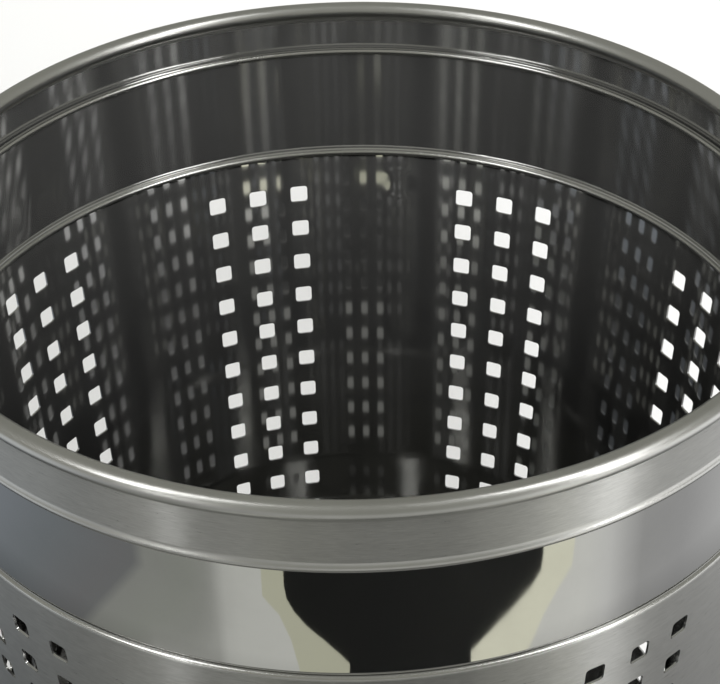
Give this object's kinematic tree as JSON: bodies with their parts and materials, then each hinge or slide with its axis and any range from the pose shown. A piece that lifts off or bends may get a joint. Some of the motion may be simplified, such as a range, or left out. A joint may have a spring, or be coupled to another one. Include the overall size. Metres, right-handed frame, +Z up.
{
  "type": "perforated waste bin",
  "caption": "Open-topped round tapered waste bin in perforated stainless steel, with a brushed rolled rim, a polished neck band and a plastic base ring.",
  "frame": {"origin": "centre of the base ring's underside, on the surface that the bin stands on", "axes": "+Z up along the bin's axis, -Y towards the front, with a group of holes centred on -Y"},
  "size_m": [0.24, 0.2396, 0.3],
  "materials": {
    "rim_steel": "stainless steel, brushed round the band",
    "body_steel": "stainless steel, brushed round the outside, bright inside",
    "polished_steel": "stainless steel, mirror polished",
    "plain_steel": "stainless steel as rolled",
    "ring_plastic": "black moulded plastic"
  },
  "bodies": {
    "root": {"rim_collar": "rim_steel", "rim_wire": "plain_steel", "neck_band": "polished_steel", "body_shell": "body_steel", "base_pan": "plain_steel", "base_ring": "ring_plastic"}
  },
  "joints": []
}
